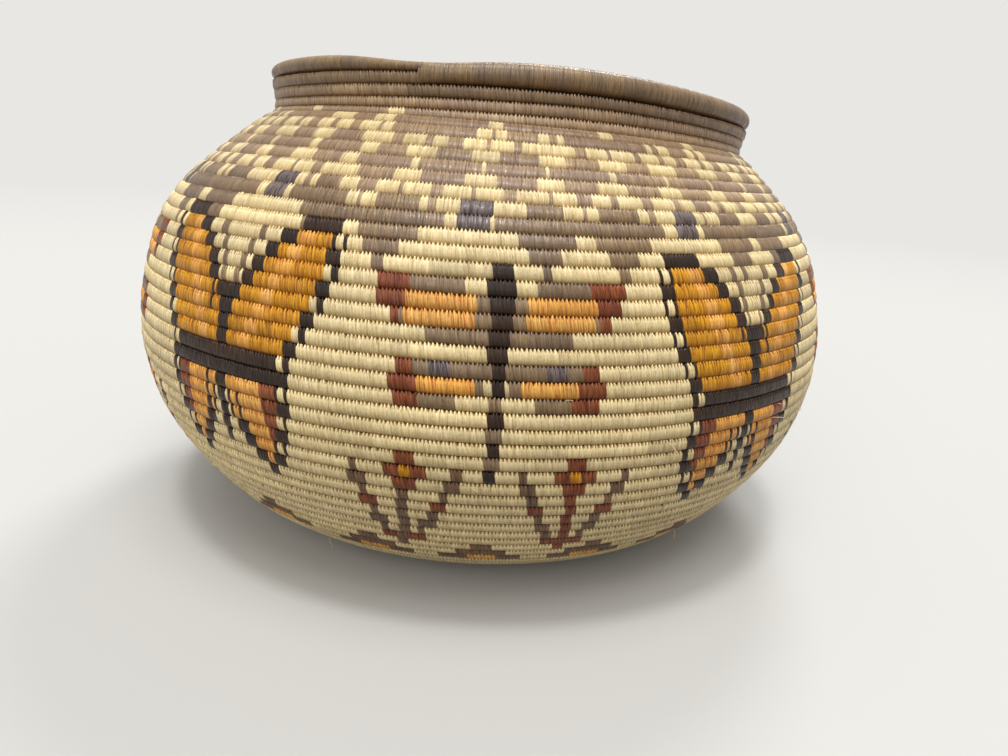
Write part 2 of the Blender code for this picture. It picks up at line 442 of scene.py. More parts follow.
def wellWithin(outline, up, out, edge):
    # inside the outline by one row and by the width of its edge, which it lacks at the body
    atBody = out < edge + butterfly["bodyHalf"]
    inside = within(outline, up, out + edge) & (within(outline, up, out - edge) | atBody)
    return inside & within(outline, up + 1, out) & within(outline, up - 1, out)


def butterflyFigures(step, dye):
    row, side, _ = rowAndSide(step, butterfly["centre"], butterfly["count"])
    up, out, edge = butterfly["row"] - row, np.abs(side) * 1000, butterfly["edge"]
    lower, upper = butterfly["lowerWing"], butterfly["upperWing"]
    dye[within(lower, up, out) | within(upper, up, out)] = black
    dye[wellWithin(lower, up, out, edge)] = orange
    dye[wellWithin(lower, up, out, edge) & (out + up > butterfly["rustFrom"])] = rust
    dye[wellWithin(upper, up, out, edge)] = gold
    stripe = butterfly["stripe"]
    onStripe = np.abs(out - stripe["lean"] * up - stripe["start"]) < stripe["half"]
    dye[wellWithin(upper, up, out, edge) & onStripe] = orange
    # pale dashes in the dark edge
    outer, inner = butterfly["dashes"]
    for outline in (lower, upper):
        dash = within(outline, up, out + outer) & ~within(outline, up, out + inner)
        dye[dash & (up % 2 == 1) & (np.abs(up) < butterfly["dashRows"])] = natural
    dye[within(butterfly["body"], up, out)] = black
    dye[within(butterfly["feelers"], up, out)] = brownGrey


def dragonflyFigures(step, dye):
    row, side, _ = rowAndSide(step, dragonfly["centre"], dragonfly["count"])
    up, out = dragonfly["row"] - row, np.abs(side) * 1000
    for name, (first, last) in dragonfly["orangeRows"].items():
        wing = within(dragonfly[name], up, out)
        dye[wing] = brownGrey
        inner = wing & (up >= first) & (up <= last)
        dye[inner & (out > dragonfly["orange"][0]) & (out < dragonfly["orange"][1])] = orange
        tipFrom = dragonfly["tipFrom"] - dragonfly["tipLean"] * np.abs(up - dragonfly["tipRow"])
        dye[wing & (out > tipFrom)] = rust
    block = (out > dragonfly["violet"][0]) & (out < dragonfly["violet"][1])
    dye[(up == dragonfly["violetRow"]) & block] = violet
    body = within(dragonfly["body"], up, out)
    dye[body] = np.where(up % 2 == 1, brownGrey, black)[body]
    dye[body & (up >= dragonfly["chestFrom"])] = black


def sprigFigures(step, dye):
    # one on each side under every dragonfly
    row, side, _ = rowAndSide(step, dragonfly["centre"], dragonfly["count"])
    up = sprig["row"] - row
    block, tall = sprig["block"], 2 * sprig["tiers"]
    for hand in (-1, 1):
        out = np.abs(side - hand * sprig["apart"])
        dye[(out < sprig["stem"] * block) & (up >= 0) & (up < tall)] = rust if hand > 0 else brown
        for tier in range(sprig["tiers"]):
            near = (sprig["stem"] + sprig["spread"] * tier) * block
            leaves = (out > near) & (out < near + block)
            dye[leaves & (up == 2 * tier + 1)] = brown if tier % 2 else rust
            dye[leaves & (up == 2 * tier + 2) & (out > near + 0.5 * block)] = brown
        flower = np.abs(up - tall) * sprig["narrows"] * block + out < sprig["flower"] * block
        dye[flower & (up >= tall - 1)] = rust
        dye[(out < sprig["eye"] * block) & (up == tall)] = gold


def footBand(step, dye):
    # low stepped hills, orange in the middle
    row, side, _ = rowAndSide(step, dragonfly["centre"], foot["count"])
    down = row - foot["row"]
    hill = (down >= 0) & (down < foot["rows"]) & (np.abs(side) < foot["top"] + foot["step"] * down)
    dye[hill] = brown
    dye[hill & (down == foot["rows"] - 1) & (np.abs(side) < foot["orange"])] = orange


def dyeAt(step):
    dye = np.full(len(step), natural)
    checkedBand(step, dye)
    butterflyFigures(step, dye)
    dragonflyFigures(step, dye)
    sprigFigures(step, dye)
    footBand(step, dye)
    neckRow, _, _ = rowAndSide(step, band["centre"], turn)
    # the neck's lower rows take the paler copy of the brown-grey dye, painted as lit from above; the
    # uppermost rows keep the brown-grey
    dye[neckRow < min(band["steps"])] = paintedLitBrownGrey
    dye[neckRow < band["darkRows"]] = brownGrey
    return dye


# Strands run out and are joined after a few stitches, so their shade changes in short runs
lots = {"shortest": 6, "longest": 32, "tone": 0.75}
lotEnds = np.cumsum(draw.integers(lots["shortest"], lots["longest"], stitchCount // lots["shortest"]))
lotOf = np.searchsorted(lotEnds, np.arange(stitchCount + 1), side="right")
lotTone = draw.normal(0, 1, len(lotEnds) + 1)
lotTint = draw.uniform(0, 1, len(lotEnds) + 1)


def fillSlots(piece, dyeOfFace):
    used = [index for index in range(len(dyeNames)) if np.any(dyeOfFace == index)]
    for index in used:
        piece.data.materials.append(fibreMaterials[dyeNames[index]])
    slotOf = np.zeros(len(dyeNames), np.int32)
    slotOf[used] = np.arange(len(used))
    piece.data.polygons.foreach_set("material_index", slotOf[dyeOfFace].astype(np.int32))


# The colour map of a length: its run is cut into strips that lie one above the other, and its
# two ends lie over them
colourMap = {
    "strips": 8, "pad": 0.03, "used": 0.97,
    "ends": (0.02, 0.06), "endHeight": 0.985, "endRadius": 0.008,
    "grainRepeats": 4000,
}


def stripPlaces(columns, around):
    strips, pad, used = colourMap["strips"], colourMap["pad"], colourMap["used"]
    perStrip = -(-columns // strips)
    index = np.arange(columns)
    strip = index // perStrip
    left = (index % perStrip) / perStrip
    right = left + 1 / perStrip
    low, high = around[:-1] / around[-1], around[1:] / around[-1]
    bottom = (strip[:, None] + pad + (1 - 2 * pad) * low[None, :]) / strips * used
    top = (strip[:, None] + pad + (1 - 2 * pad) * high[None, :]) / strips * used
    left = np.broadcast_to(left[:, None], bottom.shape)
    right = np.broadcast_to(right[:, None], bottom.shape)
    corners = [(left, bottom), (right, bottom), (right, top), (left, top)]
    return np.stack([np.stack(corner, -1) for corner in corners], 2)


def addObject(name, data):
    made = bpy.data.objects.new(name, data)
    bpy.context.scene.collection.objects.link(made)
    return made


def addTube(name, points, arcs, tone, tint, dyeOfColumn, shadows):
    # points has a closed ring of points for each column along the coil
    columns, rows = points.shape[0] - 1, points.shape[1]
    cell = np.arange(columns * rows)
    column, row = cell // rows, cell % rows
    after = (row + 1) % rows
    quads = np.stack([column * rows + row, (column + 1) * rows + row,
                      (column + 1) * rows + after, column * rows + after], -1)
    ends = np.arange(rows)
    corners = np.concatenate([quads.ravel(), ends, columns * rows + ends[::-1]])
    starts = np.concatenate([cell * 4, [len(quads) * 4, len(quads) * 4 + rows]])
    mesh = bpy.data.meshes.new(name)
    mesh.vertices.add(points.shape[0] * rows)
    mesh.vertices.foreach_set("co", points.astype(np.float32).ravel())
    mesh.loops.add(len(corners))
    mesh.loops.foreach_set("vertex_index", corners.astype(np.int32))
    mesh.polygons.add(len(starts))
    mesh.polygons.foreach_set("loop_start", starts.astype(np.int32))
    mesh.update(calc_edges=True)
    mesh.polygons.foreach_set("use_smooth", np.append(np.ones(len(cell), bool), [False, False]))
    # distances round the coil and along it, in millimetres, for the fibre's grain
    ring = np.linalg.norm(np.diff(np.vstack([points[0], points[0][:1]]), axis=0), axis=1)
    around = np.concatenate([[0.0], np.cumsum(ring)])
    along = arcs[0] * 1000 % colourMap["grainRepeats"] + (arcs - arcs[0]) * 1000
    grain = [np.stack([along[column + onward], around[row + upward] * 1000], -1)
             for onward, upward in ((0, 0), (1, 0), (1, 1), (0, 1))]
    grain = np.stack(grain, 1).reshape(-1, 2)
    places = stripPlaces(columns, around).reshape(-1, 2)
    turns = ends / rows * 2 * math.pi
    radius = colourMap["endRadius"]
    for middle in colourMap["ends"]:
        x, y = middle + radius * np.cos(turns), colourMap["endHeight"] + radius * np.sin(turns)
        cap = np.stack([x, y], -1)
        places = np.vstack([places, cap])
        grain = np.vstack([grain, cap * 100])
    mesh.uv_layers.new(name="fibreMap").data.foreach_set("uv", grain.astype(np.float32).ravel())
    mesh.uv_layers.new(name="OFBake").data.foreach_set("uv", places.astype(np.float32).ravel())
    for label, values, atEnds in (("tone", tone, 0.0), ("tint", tint, 0.5)):
        values = np.append(values[column], [atEnds, atEnds]).astype(np.float32)
        mesh.attributes.new(label, "FLOAT", "FACE").data.foreach_set("value", values)
    shadow = np.broadcast_to(shadows, points.shape[:2]).astype(np.float32)
    mesh.attributes.new("shadow", "FLOAT", "POINT").data.foreach_set("value", shadow.ravel())
    edges = np.empty(len(mesh.edges) * 2, np.int32)
    mesh.edges.foreach_get("vertices", edges)
    ringOf = edges.reshape(-1, 2) // rows
    sharp = (ringOf[:, 0] == ringOf[:, 1]) & ((ringOf[:, 0] == 0) | (ringOf[:, 0] == columns))
    mesh.attributes.new("sharp_edge", "BOOLEAN", "EDGE").data.foreach_set("value", sharp)
    piece = addObject(name, mesh)
    dye = dyeOfColumn[column]
    fillSlots(piece, np.append(dye, [dye[0], dye[-1]]))
    return piece


def innerFace(share):
    # a value for each point round the coil: share on the basket's inner face and 1 elsewhere
    return np.where(np.array(stitch["atGroove"])[:, 0] < stitch["innerBelow"], share, 1.0)


def stitchedPoints(arcs, owners, tooth, groove, toothShare, taper=None):
    # a ring of points round the coil for each column
    atGroove, atTooth = np.array(stitch["atGroove"]), np.array(stitch["atTooth"])
    height = tooth * (1 + stitch["toothRise"] * stitchRise[owners])
    height = np.clip(height, 0, stitch["tallest"])
    section = mix(atGroove[None], atTooth[None], height[:, None, None])
    usual = (atGroove + atTooth) / 2
    share = np.broadcast_to(toothShare, arcs.shape)[:, None, None]
    section = usual + (section - usual) * share
    across, along = section[..., 0], section[..., 1]
    depth = innerFace(stitch["innerGroove"]) * stitch["grooveDepth"] / (coil["thickness"] / 2)
    bulge = (stitchBulge[owners] * (1 - groove))[:, None]
    across = across * (1 + (stitch["bulge"] * bulge - groove[:, None] * depth))
    slant = stitch["slant"] * (1 + stitch["slantVaries"] * stitchSlant[owners] * (groove < 1))
    step = stepAt(arcs[:, None] - slant[:, None] * along)
    low, high = boundaryAt(step), boundaryAt(step + turn)
    length = mix(low, high, (along + 1) / 2)
    middleRadius, middleHeight = wallAt(length)
    run = runAt(length)
    uneven = handWave(arcAt(step), coil["unevenRun"], "thickness")
    thickness = coil["thickness"] * (1 + coil["uneven"] * uneven)
    if taper is not None:
        middle = mix(low, high, 0.5)
        length = mix(middle, length, taper[:, None])
        middleRadius, middleHeight = wallAt(length)
        thickness = thickness * taper[:, None]
    reach = across * thickness / 2
    points = place(middleRadius + reach * run[1], middleHeight - reach * run[0], angleAt(step))
    points[..., 2] = np.maximum(points[..., 2], 0.0)  # pressed flat where the basket rests
    return points


def stitchColumns(first, last):
    index = np.arange(first, last)
    span = stitchStart[index + 1] - stitchStart[index]
    arcs = stitchStart[index][:, None] + span[:, None] * np.array(stitch["columns"])
    arcs = np.append(arcs.ravel(), stitchStart[last])
    owners = np.append(np.repeat(index, len(stitch["columns"])), last)
    tooth = np.append(np.tile(stitch["tooth"], len(index)), 0.0)
    groove = np.append(np.tile(stitch["groove"], len(index)), 1.0)
    return arcs, owners, tooth, groove


def stitchAt(step):
    return int(round(float(arcAt(step)) / stitch["pitch"]))


def finish(piece, node):
    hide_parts(node)
    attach(piece, "root")


def stitchedLength(name, node, firstStep, lastStep, tapered=False):
    first, last = stitchAt(firstStep), stitchAt(lastStep)
    arcs, owners, tooth, groove = stitchColumns(first, last)
    height = wallAt(lowerSideAt(stepAt(arcs)))[1]
    onShoulder = smooth((height - stitch["shoulderFrom"]) / stitch["shoulderOver"])
    toothShare = mix(1.0, stitch["shoulderTooth"], onShoulder)
    taper = mix(coil["tipShare"], 1.0, smooth((arcs - arcs[0]) / coil["tipRuns"])) if tapered else None
    points = stitchedPoints(arcs, owners, tooth, groove, toothShare, taper)
    middles = (stitchStart[first:last] + stitchStart[first + 1:last + 1]) / 2
    dyeOfColumn = np.repeat(dyeAt(stepAt(middles)), len(stitch["columns"]))
    tone = lots["tone"] * lotTone[lotOf[owners]] + stitch["toneVaries"] * stitchTone[owners]
    # how much the wall leans out there, and nothing on the flat base
    leaning = smooth(stitch["leansBy"] * runAt(lowerSideAt(stepAt(arcs)))[0])
    leaning = (leaning * (height > stitch["baseBelow"]))[:, None]
    # the painted seam shade and tip highlight, between the belly's and the leaning wall's
    atGroove, atTooth = (
        mix(np.array(stitch["shadow"][part]), np.array(stitch["leaningShadow"][part]), leaning)
        for part in ("groove", "tooth"))
    shadows = mix(atGroove, atTooth, (tooth * toothShare)[:, None])
    # painted shade in the grooves between stitches, stronger on the basket's inner face
    lines = grooveShades[np.append(dyeOfColumn, dyeOfColumn[-1])] * groove**2
    shadows = shadows + lines[:, None] * innerFace(stitch["innerGroove"]) * (1 - shadows)
    piece = addTube(name, points, arcs, tone, lotTint[lotOf[owners]], dyeOfColumn, shadows)
    finish(piece, node)


# The fibre's look, built once and used by every dye: the scale of each grain is along the coil
# and round it, for each millimetre, and its range is what of the noise counts
fibre = {
    "strands": {"scale": (2.1, 0.13), "offset": 0.0, "detail": 2.5, "range": (0.36, 0.66)},
    "slits": {"scale": (1.15, 0.085), "offset": 41.0, "detail": 1.0, "range": (0.60, 0.68)},
    "blotches": {"scale": (0.06, 0.11), "offset": 83.0, "detail": 2.0},
    "spots": {"scale": (0.5, 0.45), "offset": 127.0, "detail": 1.0, "range": (0.70, 0.78)},
    "flecks": {"scale": (1.9, 0.85), "offset": 211.0, "detail": 1.0},
    "harshness": 0.62, "fleckStep": 0.42, "toneStep": 0.095, "tipLight": 0.5,
    # the painted shade's colours, from none through brown to full shade in the seams
    "shades": [(1.0, 1.0, 1.0), (0.58, 0.49, 0.36), (0.075, 0.042, 0.018)],
    "roughLow": 0.30, "roughHigh": 0.62, "bump": 0.45, "bumpDepth": 0.00010,
}


def linear(shade):
    parts = [value / 255 for value in shade]
    parts = [part / 12.92 if part <= 0.04045 else ((part + 0.055) / 1.055) ** 2.4 for part in parts]
    return (*parts, 1.0)


def addNode(tree, kind, spot, **settings):
    made = tree.nodes.new(kind)
    made.location = spot
    for name, value in settings.items():
        setattr(made, name, value)
    return made


def feed(tree, sockets, values):
    # a value is a number or a colour that stays on its socket, or the output that feeds it
    for socket, value in zip(sockets, values):
        if isinstance(value, bpy.types.NodeSocket):
            tree.links.new(value, socket)
        else:
            socket.default_value = value


def mathNode(tree, operation, spot, first, second, clamp=False):
    made = addNode(tree, "ShaderNodeMath", spot, operation=operation, use_clamp=clamp)
    feed(tree, made.inputs, (first, second))
    return made.outputs[0]


def mixNode(tree, spot, factor, first, second, blend="MIX"):
    made = addNode(tree, "ShaderNodeMix", spot, data_type="RGBA", blend_type=blend)
    feed(tree, (made.inputs[0], made.inputs[6], made.inputs[7]), (factor, first, second))
    return made.outputs[2]


def rangeNode(tree, spot, value, low, high, outLow=0.0, outHigh=1.0):
    made = addNode(tree, "ShaderNodeMapRange", spot)
    feed(tree, made.inputs, (value, low, high, outLow, outHigh))
    return made.outputs[0]


def grainNoise(tree, spot, uv, grain):
    mapping = addNode(tree, "ShaderNodeMapping", (spot[0] - 200, spot[1]))
    mapping.inputs["Location"].default_value = (grain["offset"], grain["offset"] * 0.7, 0.0)
    mapping.inputs["Scale"].default_value = (*grain["scale"], 1.0)
    noise = addNode(tree, "ShaderNodeTexNoise", spot, noise_dimensions="2D")
    noise.inputs["Scale"].default_value = 1.0
    noise.inputs["Detail"].default_value = grain["detail"]
    noise.inputs["Roughness"].default_value = fibre["harshness"]
    tree.links.new(uv, mapping.inputs["Vector"])
    tree.links.new(mapping.outputs[0], noise.inputs["Vector"])
    if "range" in grain:
        return rangeNode(tree, (spot[0] + 250, spot[1]), noise.outputs[0], *grain["range"])
    return noise.outputs[0]


def buildFibreGroup():
    tree = bpy.data.node_groups.new("palmStrand", "ShaderNodeTree")
    sockets = (
        ("INPUT", "Color", ("Warm", "Cool", "Deep")),
        ("INPUT", "Float", ("Streaks", "Slits", "Spots", "Polish")),
        ("OUTPUT", "Color", ("Colour",)), ("OUTPUT", "Float", ("Roughness", "Height")))
    for way, kind, names in sockets:
        for name in names:
            tree.interface.new_socket(name, in_out=way, socket_type="NodeSocket" + kind)
    given = addNode(tree, "NodeGroupInput", (-1200, 0)).outputs
    out = addNode(tree, "NodeGroupOutput", (1200, 0)).inputs
    uv = addNode(tree, "ShaderNodeUVMap", (-1200, -400), uv_map="fibreMap").outputs[0]
    tone, tint, shadow = (
        addNode(tree, "ShaderNodeAttribute", (-1200, height), attribute_name=name).outputs["Fac"]
        for name, height in (("tone", 500), ("tint", 700), ("shadow", 900)))
    strand = grainNoise(tree, (-800, 0), uv, fibre["strands"])
    slits = grainNoise(tree, (-800, -250), uv, fibre["slits"])
    blotches = grainNoise(tree, (-800, -500), uv, fibre["blotches"])
    spots = grainNoise(tree, (-800, -750), uv, fibre["spots"])
    flecks = grainNoise(tree, (-800, -1000), uv, fibre["flecks"])
    # a strand is warm or cool, with a few blotches of the other
    blotch = mathNode(tree, "SUBTRACT", (-750, 750), blotches, 0.5)
    cast = mathNode(tree, "ADD", (-550, 700), tint, blotch, True)
    base = mixNode(tree, (-300, 600), cast, given["Warm"], given["Cool"])
    # fine lines along it, open slits and small spots are of the deep shade
    gaps = mathNode(tree, "SUBTRACT", (-420, 100), 1.0, strand)
    lines = mathNode(tree, "MULTIPLY", (-300, 200), gaps, given["Streaks"])
    cuts = mathNode(tree, "MULTIPLY", (-300, 0), slits, given["Slits"])
    dots = mathNode(tree, "MULTIPLY", (-300, -200), spots, given["Spots"])
    marks = mathNode(tree, "ADD", (-200, 50), lines, cuts)
    marksAndPaintedHighlight = mathNode(tree, "ADD", (-100, 100), marks, dots, True)
    streaked = mixNode(tree, (100, 400), marksAndPaintedHighlight, base, given["Deep"])
    # stitches differ in tone, the tooth tips and the rim's top get a painted highlight, and flecks lie
    # over them
    differs = mathNode(tree, "MULTIPLY", (150, 150), tone, fibre["toneStep"])
    raised = mathNode(tree, "MINIMUM", (0, 0), shadow, 0.0)
    tip = mathNode(tree, "MULTIPLY", (150, 0), raised, -fibre["tipLight"])
    value = mathNode(tree, "ADD", (300, 100), differs, tip)
    fleck = mathNode(tree, "SUBTRACT", (0, -150), flecks, 0.5)
    fleck = mathNode(tree, "MULTIPLY", (150, -150), fleck, fibre["fleckStep"])
    value = mathNode(tree, "ADD", (320, 50), value, fleck)
    value = mathNode(tree, "ADD", (350, 150), value, 1.0)
    level = addNode(tree, "ShaderNodeHueSaturation", (400, 400))
    tree.links.new(value, level.inputs["Value"])
    tree.links.new(streaked, level.inputs["Color"])
    # painted brown shade, deepest in the seams, also down the coils' lower sides and under the rim
    hollow = addNode(tree, "ShaderNodeValToRGB", (450, 150))
    hollow.color_ramp.elements.new(0.5)
    for part, shade in zip(hollow.color_ramp.elements, fibre["shades"]):
        part.color = (*shade, 1.0)
    tree.links.new(shadow, hollow.inputs[0])
    shaded = mixNode(tree, (750, 300), 1.0, level.outputs[0], hollow.outputs[0], "MULTIPLY")
    tree.links.new(shaded, out["Colour"])
    rough = rangeNode(tree, (700, 0), strand, 0.0, 1.0, fibre["roughHigh"], fibre["roughLow"])
    tree.links.new(mathNode(tree, "SUBTRACT", (900, 0), rough, given["Polish"]), out["Roughness"])
    tree.links.new(mathNode(tree, "SUBTRACT", (700, -300), strand, slits), out["Height"])
    return tree


fibreGroup = buildFibreGroup()


def fibreMaterial(name, shades):
    material = bpy.data.materials.new(name + "Fibre")
    material.use_nodes = True
    tree = material.node_tree
    shader = tree.nodes["Principled BSDF"]
    group = addNode(tree, "ShaderNodeGroup", (-500, 200))
    group.node_tree = fibreGroup
    for socket, shade in (("Warm", "warm"), ("Cool", "cool"), ("Deep", "deep")):
        group.inputs[socket].default_value = linear(shades[shade])
    for socket in ("Streaks", "Slits", "Spots", "Polish"):
        group.inputs[socket].default_value = shades[socket.lower()]
    bump = addNode(tree, "ShaderNodeBump", (-250, -200))
    bump.inputs["Strength"].default_value = fibre["bump"]
    bump.inputs["Distance"].default_value = fibre["bumpDepth"]
    tree.links.new(group.outputs["Height"], bump.inputs["Height"])
    tree.links.new(bump.outputs[0], shader.inputs["Normal"])
    tree.links.new(group.outputs["Colour"], shader.inputs["Base Color"])
    tree.links.new(group.outputs["Roughness"], shader.inputs["Roughness"])
    shader.inputs["Specular IOR Level"].default_value = shades["shine"]
    material.diffuse_color = linear(shades["warm"])
    return material


fibreMaterials = {name: fibreMaterial(name, shades) for name, shades in dyes.items()}
print("fibre materials made")


def startKnot():
    # the tight turn and a half that the coil grows from
    stitchedLength("startKnot", "start_knot", coil["knotFrom"], 0.0, tapered=True)


heart = {
    "radius": 0.0047, "aside": 0.0014, "rings": 13, "sides": 36, "wraps": 9, "ridge": 0.04,
    "domed": 1.45, "height": 0.94, "towards": -35.0,
}


def knotHeart():
    # the small wrapped button that the knot is wound round, a little to the side where it starts
    across = np.linspace(-heart["domed"], heart["domed"], heart["rings"])
    turns = -2 * math.pi * np.arange(heart["sides"]) / heart["sides"]
    ridges = 1 + heart["ridge"] * np.cos(turns * heart["wraps"])
    radius = heart["radius"] * np.cos(across)[:, None] * ridges
    height = coil["thickness"] / 2 * (1 + heart["height"] * np.sin(across)[:, None] + 0 * turns)
    start = angleAt(heart["towards"])
    x, y = heart["aside"] * math.cos(start), heart["aside"] * math.sin(start)
    points = np.stack([x + radius * np.cos(turns), y + radius * np.sin(turns), height], -1)
    plain = np.zeros(heart["rings"])
    dyeOfColumn = np.full(heart["rings"] - 1, natural)
    piece = addTube("knotHeart", points, height[:, 0], plain, plain + 0.5, dyeOfColumn, 0.0)
    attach(piece, "root")


def baseAndWall():
    first = 0
    for index, turns in enumerate(coil["baseTurns"], 1):
        last = first + turns * turn
        stitchedLength("baseCoil%02d" % index, "base_coil_%02d" % index, first, last)
        first = last
    index = 1
    while first < rimStep:
        last = min(first + coil["lengthSteps"], rimStep)
        if rimStep - last < turn // 2:
            last = rimStep
        end = last + (coil["tuck"] if last == rimStep else 0)
        stitchedLength("wallCoil%02d" % index, "wall_coil_%02d" % index, first, end)
        first = last
        index += 1


def rimCoil():
    startArc, endArc = float(arcAt(rimStep)), float(arcAt(rimStep + turn)) + rim["tuck"]
    wraps, columns = int((endArc - startArc) / rim["wrap"]), len(rim["columns"])
    random = np.random.default_rng(seeds["rim"])
    starts = np.arange(wraps + 1) + random.uniform(-rim["uneven"], rim["uneven"], wraps + 1)
    starts = startArc + starts * rim["wrap"]
    starts[0], starts[-1] = startArc, endArc
    arcs = (starts[:-1, None] + np.diff(starts)[:, None] * np.array(rim["columns"])).ravel()
    arcs = np.append(arcs, endArc)
    groove = np.append(np.tile(rim["groove"], wraps), 1.0)
    bulge = np.append(np.repeat(random.normal(0, 1, wraps), columns), 0.0)
    step = stepAt(arcs)
    share = (step - rimStep) / turn
    angle = angleAt(step)
    low = wallAt(boundaryAt(step))[1]
    high = rim["top"] + wavesAt(lean["rimWaves"], angle)
    fromStart = smooth((arcs - startArc) / rim["startRuns"])
    thickness = mix(rim["startFit"] * coil["thickness"], rim["startThickness"], fromStart)
    thickness = mix(thickness, rim["thickness"], smooth(share / rim["growsOver"]))
    thickness = mix(coil["thickness"], thickness, smooth((1 - share) / rim["tapersOver"]))
    around = -math.pi / 2 + np.arange(rim["rows"]) / rim["rows"] * 2 * math.pi
    sunk = (groove * rim["ridge"] - rim["bulge"] * rim["ridge"] * bulge * (1 - groove))[:, None]
    across = (thickness / 2)[:, None] - sunk
    reach = ((high - low) / 2)[:, None] - sunk
    heights = ((high + low) / 2)[:, None] + reach * np.sin(around)
    # at its start it is squarer, to meet both turns that end there
    square = mix(rim["startSquare"], 1.0, fromStart)[:, None]
    bow = np.sign(np.cos(around)) * np.abs(np.cos(around)) ** square
    radii = rim["outerRadius"] - (thickness / 2)[:, None] + across * bow
    points = place(radii, heights, np.broadcast_to(angle[:, None], radii.shape))
    lot = np.arange(len(arcs)) // (rim["lot"] * columns)
    wrapTone = np.repeat(random.normal(0, rim["toneStep"], wraps), columns)
    tone = rim["toneStep"] * lotTone[lot] + np.append(wrapTone, 0.0)
    # painted shade in the grooves between wraps and towards the underside, and a painted highlight on
    # the top
    lines = dyes["brownGrey"]["grooves"] * groove[:, None]
    under = np.clip(rim["shade"] * (rim["shadeFrom"] - np.sin(around)), 0, 1)
    marksAndPaintedHighlight = rim["marksAndPaintedHighlight"] * smooth((np.sin(around) - rim["paintedHighlightFrom"]) / (1 - rim["paintedHighlightFrom"]))
    shadow = under + lines * (1 - under) - marksAndPaintedHighlight
    dyeOfColumn = np.full(len(arcs) - 1, brownGrey)
    piece = addTube("rimCoil", points, arcs, tone, lotTint[lot], dyeOfColumn, shadow)
    finish(piece, "rim_coil")


# Broken ends of fibre that stand out from the seams of the lower wall
loose = {
    "count": 130, "tries": 6, "lowest": 0.010, "highest": 0.105,
    "longest": 0.0085, "shortest": 0.003, "thickness": 0.00011, "points": 7,
    "sunk": 0.62, "lift": (0.15, 0.7), "bend": 80, "droop": (-0.6, 0.3), "curl": 25, "inward": 0.3,
}


def looseFibres():
    random = np.random.default_rng(seeds["loose"])
    curve = bpy.data.curves.new("looseFibres", "CURVE")
    curve.dimensions = "3D"
    curve.bevel_depth = loose["thickness"]
    curve.bevel_resolution = 1
    curve.use_fill_caps = True
    steps = random.uniform(0, rimStep, loose["count"] * loose["tries"])
    heights = wallAt(lowerSideAt(steps))[1]
    steps = steps[(heights > loose["lowest"]) & (heights < loose["highest"])][:loose["count"]]
    for step in steps:
        radius, height = wallAt(boundaryAt(step))
        run = runAt(boundaryAt(step))
        angle = angleAt(step)
        along = np.linspace(0, 1, loose["points"]) * random.uniform(loose["shortest"], loose["longest"])
        lift, turned = random.uniform(*loose["lift"]), random.uniform(-1, 1)
        bend = random.uniform(-loose["bend"], loose["bend"])
        out = coil["thickness"] / 2 * loose["sunk"] + lift * along
        side = turned * along + bend * along**2
        down = random.uniform(*loose["droop"]) * along + loose["curl"] * along**2
        radii = radius + out * run[1] - down * run[0] * loose["inward"]
        points = place(radii, height - out * run[0] - down, angle + side / radius)
        spline = curve.splines.new("POLY")
        spline.points.add(loose["points"] - 1)
        spline.points.foreach_set("co", np.column_stack([points, np.ones(len(points))]).ravel())
    piece = addObject("looseFibres", curve)
    curve.materials.append(fibreMaterials["natural"])
    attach(piece, "root")


startKnot()
knotHeart()
looseFibres()
baseAndWall()
print("stitched lengths made")
rimCoil()
print("rim made")


# A plain pale floor with soft light from above, and a pale backdrop that lights nothing
studio = {
    "floor": (201, 200, 196), "floorReturns": (124, 121, 116), "backdrop": (232, 231, 228),
    "floorHalf": 9.0, "fades": (0.9, 2.6), "worldLight": 0.36,
    "key": {"turned": 10.0, "height": 72.0, "soft": 40.0, "strength": 1.45},
    "spark": {"turned": -10.0, "height": 76.0, "soft": 9.0, "strength": 0.88},
    "front": {"turned": -20.0, "height": 28.0, "soft": 50.0, "strength": 1.12},
    "back": {"turned": 160.0, "height": 52.0, "soft": 16.0, "strength": 1.05},
}


def seenRays(tree):
    # 1 where the eye sees a surface straight, in a reflection or through glass
    rays = addNode(tree, "ShaderNodeLightPath", (-900, 300)).outputs
    seen = mathNode(tree, "MAXIMUM", (-700, 300), rays["Is Camera Ray"], rays["Is Glossy Ray"])
    return mathNode(tree, "MAXIMUM", (-500, 300), seen, rays["Is Transmission Ray"])


